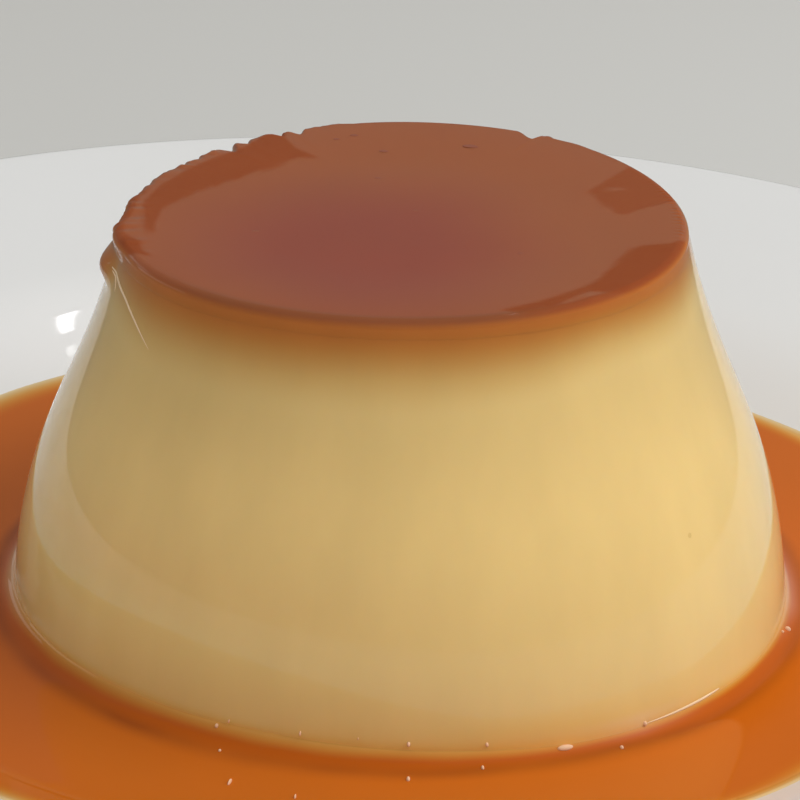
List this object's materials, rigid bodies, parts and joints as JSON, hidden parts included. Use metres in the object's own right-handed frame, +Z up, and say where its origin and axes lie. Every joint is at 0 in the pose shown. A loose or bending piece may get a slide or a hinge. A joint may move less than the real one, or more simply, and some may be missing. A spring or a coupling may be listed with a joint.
{
  "type": "creme caramel flan",
  "caption": "Creme caramel flan with a caramel-soaked top and a torn edge, standing in a pool of caramel sauce on a round white plate.",
  "frame": {"origin": "middle of the plate's foot ring, on the surface that the plate stands on", "axes": "+Z up; -Y towards the shown front of the flan, +X to its right"},
  "size_m": [0.208, 0.208, 0.0513],
  "materials": {
    "plate_glaze": "gloss",
    "caramel_sauce": "gloss",
    "custard": "satin",
    "caramel_top": "gloss"
  },
  "bodies": {
    "root": {"plate": "plate_glaze", "sauce": "caramel_sauce", "custard": "custard", "caramel_top": "caramel_top"}
  },
  "joints": []
}
